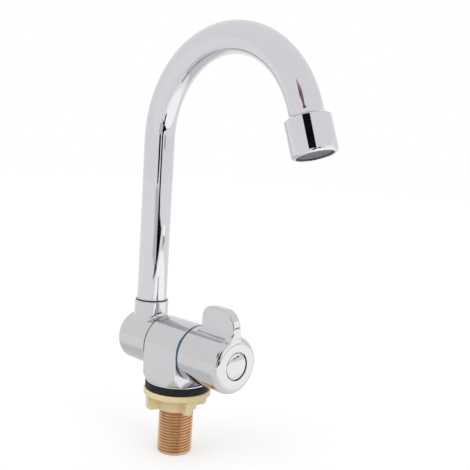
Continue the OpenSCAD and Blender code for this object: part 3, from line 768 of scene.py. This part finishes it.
# %% Make the cap and the ring
DOME_IN, DOME_RINGS = 0.25, 16
CAP_BEVEL = [(CAP_R - 0.05, CAP_EDGE - 0.1), (CAP_R, CAP_EDGE - 0.4)]
dome_r = (CAP_R**2 + CAP_RISE**2) / (2 * CAP_RISE)
dome = np.linspace(0.0, CAP_R - DOME_IN, DOME_RINGS)
dome_profile = np.column_stack([dome, CAP_EDGE + CAP_RISE - dome_r + np.sqrt(dome_r**2 - dome**2)])
cap_profile = np.concatenate([dome_profile, CAP_BEVEL, [(CAP_R, RECESS_X), (0.0, RECESS_X)]])
cap_mesh = closed_mesh("cap", [turned(cap_profile, *FOLD_AXIS)])
skin("cap", cap_mesh, "knob", "chrome", CAST_CHROME_PAINTED_DARKER, "index_cap")


def flat_ring(bore, radius, low, high, low_round, high_round):
    """Section of a flat ring. It starts in the middle of the lower face and comes back there."""
    middle = (bore + radius) / 2
    return rounded([
        (middle, low), (radius, low, low_round), (radius, high, high_round), (bore, high), (bore, low),
        (middle, low),
    ])


RING_BORE, RING_R, RING_BACK, RING_LIP = 10.4, ring_high[1], 0.2, 0.3
ring_profile = flat_ring(RING_BORE, RING_R, BODY_FRONT, ring_high[0], RING_BACK, RING_LIP)
cold_ring_mesh = closed_mesh("cold_ring", [turned(ring_profile, *FOLD_AXIS)])
skin("cold_ring", cold_ring_mesh, "body", "blue_plastic", BLUE, "index_ring")

# %% [markdown]
# ## Gasket and backnut
# Below the foot lies a rubber gasket, then the worktop when the tap is fitted, then a plastic backnut with
# four wings to turn it by hand. Gasket and nut are lathe work. The wings could be boxes cut to shape, but
# a moulded wing is rounded all over, so each is a stack of oblong rings that starts inside the hub.

# %% Make the gasket and the backnut
GASKET_R, GASKET_BORE, GASKET_ROUND = span("base_gasket")[1][0], 10.8, 0.6
gasket_profile = flat_ring(GASKET_BORE, GASKET_R, 0.0, FOOT_Z, GASKET_ROUND, GASKET_ROUND)
gasket_mesh = closed_mesh("gasket", [turned(gasket_profile, *SHANK_AXIS)])
skin("gasket", gasket_mesh, "body", "rubber", RUBBER, "base_gasket")

nut_low, nut_high = span("backnut")
NUT_R, NUT_TOP, NUT_FOOT, NUT_FLANGE = nut_high[0], nut_high[2], nut_low[2], -3.6
NUT_BORE, HUB_R, HUB_IN = 10.55, 12.3, 11.4
FLANGE_ROUND, FLANGE_FILLET, HUB_EDGE, BORE_EDGE = 0.7, 0.9, 0.5, 0.3
WING_R, WING_T, WING_ROUND, WING_ROOT, WING_TURN = 19.5, 4.0, 2.6, -1.5, -19.0
WING_CORNER, WING_THIN, WING_RINGS = 0.7, 0.4, 9
nut_profile = rounded([
    (HUB_R, NUT_TOP), (NUT_R, NUT_TOP, FLANGE_ROUND), (NUT_R, NUT_FLANGE, FLANGE_ROUND),
    (HUB_R, NUT_FLANGE, FLANGE_FILLET), (HUB_R, NUT_FOOT, HUB_EDGE), (NUT_BORE, NUT_FOOT, BORE_EDGE),
    (NUT_BORE, NUT_TOP), (HUB_R, NUT_TOP),
])


def wing_rings(turn):
    """Rings down one wing: an oblong from inside the hub out to WING_R, with a round outer lower corner.

    At angle b of that corner the outer end is WING_R - WING_ROUND * (1 - cos b), and each side is drawn
    in by WING_THIN * (1 - cos b)^3.
    """
    bow = np.concatenate([[0.0, 0.0], np.linspace(0.0, np.pi / 2, WING_RINGS), [np.pi / 2]])
    height = NUT_FOOT + WING_ROUND * (1 - np.sin(bow))
    height[:2] = WING_ROOT
    outer = WING_R - WING_ROUND * (1 - np.cos(bow))
    half = WING_T / 2 - WING_THIN * (1 - np.cos(bow)) ** 3
    plan = oblongs((outer - HUB_IN) / 2, half, WING_CORNER)
    plan[..., 0] += (outer + HUB_IN)[:, None] / 2
    plan[[0, -1], :, 1] = 0.0
    cosine, sine = math.cos(math.radians(turn)), math.sin(math.radians(turn))
    x = cosine * plan[..., 0] - sine * plan[..., 1]
    y = sine * plan[..., 0] + cosine * plan[..., 1]
    return np.stack([x, y, height[:, None] * np.ones_like(x)], axis=-1)


wings = [wing_rings(WING_TURN + quarter * 90.0) for quarter in range(4)]
nut_mesh = closed_mesh("nut", [turned(nut_profile, *SHANK_AXIS)] + wings)
skin("nut", nut_mesh, "nut", "cream_plastic", CREAM, "backnut")

# %% [markdown]
# ## The shank
# The threaded brass shank brings the water up and holds the tap down. A thread is often only a bump in
# the material, but then its outline stays straight. Here it is a real helix: its radius at a height and
# angle depends only on how far that point is along the pitch, so one grid holds the whole thread.

# %% Make the threaded shank
shank_low, shank_high = span("tail_shank")
THREAD_R, THREAD_PITCH = shank_high[0], 1.814
THREAD_DEPTH = 0.64 * THREAD_PITCH
THREAD_FLAT, FLAT_SHARE = 2.4, 0.35
SHANK_END, SHANK_TOP, SHANK_BORE = shank_low[2], 3.9, 6.5
SHANK_CHAMFER, BORE_CHAMFER = 0.9, 0.4
PITCH_RINGS, SHANK_AROUND = 16, 96


def shank_rings():
    """Rings up the shank and back down its bore.

    The radius is THREAD_R - THREAD_DEPTH * tooth(z / pitch - t / 2 pi). tooth is 0 on the crest and 1 in
    the root: a plain wave, made flatter at both by a share of its tanh. At the lower end a chamfer limits
    the radius.
    """
    t = np.linspace(0.0, 2 * np.pi, SHANK_AROUND, endpoint=False)
    z = np.arange(SHANK_END, SHANK_TOP, THREAD_PITCH / PITCH_RINGS)[:, None]
    wave = np.cos(2 * np.pi * ((z / THREAD_PITCH - t / (2 * np.pi)) % 1.0))
    flat_wave = np.tanh(THREAD_FLAT * wave) / math.tanh(THREAD_FLAT)
    tooth = 0.5 - 0.5 * ((1 - FLAT_SHARE) * wave + FLAT_SHARE * flat_wave)
    radius = THREAD_R - THREAD_DEPTH * tooth
    radius = np.minimum(radius, THREAD_R - SHANK_CHAMFER + (z - SHANK_END))
    outside = np.stack([radius * np.cos(t), radius * np.sin(t), z * np.ones_like(t)], axis=-1)
    bore_z = np.array([z[-1, 0], SHANK_END + BORE_CHAMFER, SHANK_END])[:, None]
    bore_r = np.array([SHANK_BORE, SHANK_BORE, SHANK_BORE + BORE_CHAMFER])[:, None]
    bore = np.stack([bore_r * np.cos(t), bore_r * np.sin(t), bore_z * np.ones_like(t)], axis=-1)
    return np.concatenate([outside, bore, outside[:1]])


shank_mesh = closed_mesh("shank", [shank_rings()])
skin("shank", shank_mesh, "body", "brass", BRASS, "tail_shank")

# %% [markdown]
# ## The pieces left as CAD
# Seals, discs, the valve and the clips hide inside, and a few rings show only as thin lines. Their CAD
# shapes are right, so they keep them and only take a finish.

# %% Give the CAD nodes their finishes
kept = {
    "valve_body": BRASS, "valve_seal": RUBBER, "fixed_disc": CERAMIC, "moving_disc": CERAMIC,
    "valve_spindle": BRASS, "spindle_o_ring": RUBBER, "spindle_clip": STEEL, "handle_screw": STEEL,
    "fold_o_rings": RUBBER, "fold_washer": BLACK, "stop_screw": STEEL, "spout_spigot": CHROME,
    "spout_o_rings": RUBBER, "spout_retainer": STEEL, "spout_slip_ring": BLACK, "stream_washer": RUBBER,
    "stream_former": BLACK,
}
for node, finish in kept.items():
    frame["nodes"][node].data.materials.clear()
    frame["nodes"][node].data.materials.append(finish)
print("CAD nodes kept:", len(kept), "of", len(frame["nodes"]))

# %% [markdown]
# ## Sheets for the studio
# A product studio is made of flat sheets: the paper that the tap stands on, and the cards and softboxes
# round it that the chrome mirrors. Each could be a scaled plane, but an outline of a few points gives any
# shape of card. A sheet's glow counts only for rays that look at it, from the camera or by way of metal
# or glass, so that it adds no light to the tap.

# %% Sheet helpers
JUST_OFF_UPRIGHT = np.array([0.0, 0.001, 100.0])
WHITE = (1.0, 1.0, 1.0, 1.0)


def flat_card(name, centre, facing, outline):
    """A flat sheet that faces a point: centre + u * sideways + v * upwards for each (u, v) of outline."""
    centre, facing = np.array(centre, float), np.array(facing, float)
    normal = (facing - centre) / np.linalg.norm(facing - centre)
    sideways = np.cross(Z_AXIS, normal)
    sideways /= np.linalg.norm(sideways)
    upwards = np.cross(normal, sideways)
    spots = centre + np.array(outline, float) @ np.array([sideways, upwards])
    mesh = bpy.data.meshes.new(name)
    mesh.from_pydata((spots * MM).tolist(), [], [list(range(len(spots)))])
    card = bpy.data.objects.new(name, mesh)
    bpy.context.scene.collection.objects.link(card)
    card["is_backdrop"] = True
    return card


def lying(name, centre, outline):
    """A level sheet. Its outline is in x and y, which run against sideways and upwards there."""
    return flat_card(name, centre, centre + JUST_OFF_UPRIGHT, [(-x, -y) for x, y in outline])


def oblong_sheet(width, height):
    """Outline of a plain sheet about its middle."""
    return [(u * width / 2, v * height / 2) for u, v in ((-1, -1), (1, -1), (1, 1), (-1, 1))]


def seen_ray(tree):
    """1 for a camera, glossy or transmission ray, else 0."""
    path = add_node(tree, "ShaderNodeLightPath").outputs
    either = add_node(
        tree, "ShaderNodeMath", {0: path["Is Camera Ray"], 1: path["Is Glossy Ray"]}, operation="MAXIMUM"
    ).outputs[0]
    return add_node(
        tree, "ShaderNodeMath", {0: either, 1: path["Is Transmission Ray"]}, operation="MAXIMUM"
    ).outputs[0]


def stage_material(name, shade, glow, fade=None):
    """A matt grey sheet that glows with a colour of its own for camera, glossy and transmission rays.

    With fade, a centre and two distances from it in millimetres, the glow eases to the room's white
    between the near one and the far one, so that the sheet's edge melts into the room.
    """
    material = bpy.data.materials.new(name)
    material.use_nodes = True
    tree = material.node_tree
    shader = tree.nodes["Principled BSDF"]
    shader.inputs["Base Color"].default_value = (shade, shade, shade, 1.0)
    shader.inputs["Roughness"].default_value = 1.0
    shader.inputs["Specular IOR Level"].default_value = 0.0
    shader.inputs["Emission Color"].default_value = (*glow, 1.0)
    if fade:
        centre, near, far = np.array(fade[0]) * MM, fade[1] * MM, fade[2] * MM
        spot = add_node(tree, "ShaderNodeTexCoord").outputs["Object"]
        gap = add_node(tree, "ShaderNodeVectorMath", {0: spot, 1: centre}, operation="DISTANCE")
        share = add_node(
            tree, "ShaderNodeMapRange",
            {"Value": gap.outputs["Value"], "From Min": near, "From Max": far},
            interpolation_type="SMOOTHSTEP",
        )
        mix = add_node(
            tree, "ShaderNodeMix",
            {0: share.outputs["Result"], MIX_A: (*glow, 1.0), MIX_B: WHITE}, data_type="RGBA",
        )
        tree.links.new(mix.outputs[MIX_RESULT], shader.inputs["Emission Color"])
    tree.links.new(seen_ray(tree), shader.inputs["Emission Strength"])
    return material


print("a sheet of 2 by 1 mm has the corners", oblong_sheet(2, 1))

# %% [markdown]
# ## Floor and light
# The tap is shown on white. The floor is white paper that keeps a faint shadow, and the world is white
# to the camera and in reflections. Two wide lamps shape the nut, the gasket and the brass. Area lamps
# would do too, but soft suns light every piece alike, and reflections don't see them here.

# %% Make the floor, the world and the lamps
FLOOR_Z, FLOOR_SIZE = SHANK_END - FIT, 6000
PAPER_SHADE, PAPER_GLOW = 0.6, (0.4, 0.4, 0.4)
AMBIENT, LAMP_SPREAD = 0.85, 45.0
KEY_FROM, KEY_STRENGTH = (-200, -700, 700), 0.5
FILL_FROM, FILL_STRENGTH = (800, -100, 500), 0.7

floor = lying("floor", (0, 0, FLOOR_Z), oblong_sheet(FLOOR_SIZE, FLOOR_SIZE))
floor.data.materials.append(stage_material("white_paper", PAPER_SHADE, PAPER_GLOW))

world = bpy.data.worlds.new("white_room")
bpy.context.scene.world = world
world.use_nodes = True
sky = world.node_tree.nodes["Background"]
sky.inputs["Color"].default_value = WHITE
level = add_node(
    world.node_tree, "ShaderNodeMapRange",
    {"Value": seen_ray(world.node_tree), "To Min": AMBIENT, "To Max": 1.0},
)
world.node_tree.links.new(level.outputs["Result"], sky.inputs["Strength"])


def soft_lamp(name, spot, strength):
    """A wide sun lamp that shines from the direction of spot to the origin, unseen in reflections."""
    lamp = bpy.data.objects.new(name, bpy.data.lights.new(name, "SUN"))
    lamp.data.energy = strength
    lamp.data.angle = math.radians(LAMP_SPREAD)
    lamp.rotation_euler = Vector(spot).to_track_quat("Z", "Y").to_euler()
    lamp.visible_glossy = False
    bpy.context.scene.collection.objects.link(lamp)
    return lamp


lamps = [soft_lamp("key_lamp", KEY_FROM, KEY_STRENGTH), soft_lamp("fill_lamp", FILL_FROM, FILL_STRENGTH)]
print("floor at", round(FLOOR_Z, 2), "mm, lamps", [lamp.name for lamp in lamps])

# %% [markdown]
# ## Cards for the chrome
# Chrome in a white tent has no contrast, so a photographer stands cards round it. Black ones draw the
# lines up the riser, the bar on the outlet and small flecks on lever and cap. A brown and a fawn one give
# the softer streaks beside them, and a gold one the warm fleck in the cap. Sheets on the floor do the same
# for what looks down, and the grey one among them is a painted shadow of the tap, which darkens the
# undersides that mirror the floor near it. An awning keeps the gold card out of the bend, and a far
# softbox whitens the knob's face. All are seen only in reflections. A painted world could hold such
# marks, but a card at a real distance shows each piece its own view.

# %% Make the cards
OUTLET_CARD = ((414, -539, 464), (90, 0, 157))
BAR_OUTLINE = [(265, -55), (-165, 75), (-165, -15), (245, -125)]
STREAK_OUTLINE = [(175, 190), (240, 25), (125, -15), (0, 10), (-10, 185), (65, 225)]
STREAK_FADE = ((464, -816, -75), 690, 880)
RISER_CARD = ((611, -285, 60), (SPOUT_X, 0, 60))
POST_OUTLINE = [(10, 300), (10, -100), (-170, -100), (-440, -60), (-170, -25), (-110, 10), (-110, 300)]
SLAT_OUTLINE = [(240, 300), (250, 20), (140, 25), (90, 60), (90, 300)]
HAZE_OUTLINE = [(370, 15), (310, -55), (380, -100), (60, -100), (0, -50), (20, 0), (85, 20)]
POLE_CARD, POLE_SIZE = ((162, -68, 103), (SPOUT_X + 8, -4.5, 103)), (32, 86)
EDGE_CARD = ((289, 188, 42), (KNOB_FRONT, 0, 42))
GOLD_OUTLINE = [(58, -17), (58, -2), (35, 13), (-28, 13), (-28, -5)]
KNOT_OUTLINE = [(-28, -5), (-28, 13), (-58, 13), (-58, -5)]
AWNING_SPOT, AWNING_OUTLINE = (0, 0, 57), [(328, 139), (250, 237), (180, 175), (237, 102)]
SHADE_SPOT = (0, 0, FLOOR_Z + 2)
SHADE_OUTLINE = [(600, -150), (640, -230), (570, -380), (500, -340), (370, -385), (500, -270)]
# The grey sheet on the floor is a painted shadow of the tap, seen only in reflections.
PAINTED_SHADOW_SPOT, PAINTED_SHADOW_NEAR, PAINTED_SHADOW_REACH, PAINTED_SHADOW_EAST = (-40, 100, FLOOR_Z + 1.5), 164, 205, 70
PAINTED_SHADOW_OUTLINE = [
    (-PAINTED_SHADOW_REACH, -PAINTED_SHADOW_REACH), (PAINTED_SHADOW_EAST, -PAINTED_SHADOW_REACH),
    (PAINTED_SHADOW_EAST, PAINTED_SHADOW_REACH), (-PAINTED_SHADOW_REACH, PAINTED_SHADOW_REACH),
]
GLOW_SPOT, GLOW_NEAR, GLOW_REACH = (430, 180, FLOOR_Z + 1), 301, 430
SOFTBOX, SOFTBOX_SIZE = ((2160, 1170, 740), (KNOB_FRONT, 0, AXIS_H)), (2550, 1130)
LAMP_WHITE = (1.4, 1.4, 1.4)

black_card = stage_material("black_card", 0.01, (0.0, 0.0, 0.0))
brown_card = stage_material("brown_card", 0.0, (0.26, 0.15, 0.15), STREAK_FADE)
fawn_card = stage_material("fawn_card", 0.0, (0.7, 0.65, 0.67))
floor_glow = stage_material("floor_glow", 0.0, LAMP_WHITE, (GLOW_SPOT, GLOW_NEAR, GLOW_REACH))
# Painted shadow: a grey glow that darkens the reflected floor near the tap.
painted_shadow_grey = stage_material("painted_shadow_grey", 0.0, (0.79, 0.79, 0.8), (PAINTED_SHADOW_SPOT, PAINTED_SHADOW_NEAR, PAINTED_SHADOW_REACH))
gold_card = stage_material("gold_card", 0.0, (0.6, 0.56, 0.42))
softbox = stage_material("softbox", 0.0, LAMP_WHITE)

cards = [
    (flat_card("bar_card", *OUTLET_CARD, BAR_OUTLINE), black_card),
    (flat_card("streak_card", *OUTLET_CARD, STREAK_OUTLINE), brown_card),
    (flat_card("post_card", *RISER_CARD, POST_OUTLINE), black_card),
    (flat_card("slat_card", *RISER_CARD, SLAT_OUTLINE), black_card),
    (flat_card("haze_card", *RISER_CARD, HAZE_OUTLINE), fawn_card),
    (flat_card("pole_card", *POLE_CARD, oblong_sheet(*POLE_SIZE)), black_card),
    (flat_card("gold_card", *EDGE_CARD, GOLD_OUTLINE), gold_card),
    (flat_card("knot_card", *EDGE_CARD, KNOT_OUTLINE), black_card),
    (lying("awning_card", AWNING_SPOT, AWNING_OUTLINE), floor_glow),
    (lying("shade_card", SHADE_SPOT, SHADE_OUTLINE), black_card),
    # The painted shadow of the tap on the floor.
    (lying("painted_shadow_card", PAINTED_SHADOW_SPOT, PAINTED_SHADOW_OUTLINE), painted_shadow_grey),
    (lying("floor_glow", GLOW_SPOT, oblong_sheet(2 * GLOW_REACH, 2 * GLOW_REACH)), floor_glow),
    (flat_card("softbox", *SOFTBOX, oblong_sheet(*SOFTBOX_SIZE)), softbox),
]
for card, sheet in cards:
    card.data.materials.append(sheet)
    card.visible_camera = False
    card.visible_diffuse = False
    card.visible_shadow = False
print("cards made:", [card.name for card, sheet in cards])

# %% [markdown]
# ## Measure and finish
# The dressed part has to keep the CAD model's size, so both boxes are printed.

# %% Print the sizes
boxes = {"cad": [list(corner) for corner in cad_box], "visual": [list(corner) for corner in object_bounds()]}
for name, box in boxes.items():
    print(name, "box in mm", [[round(value / MM, 2) for value in corner] for corner in box])
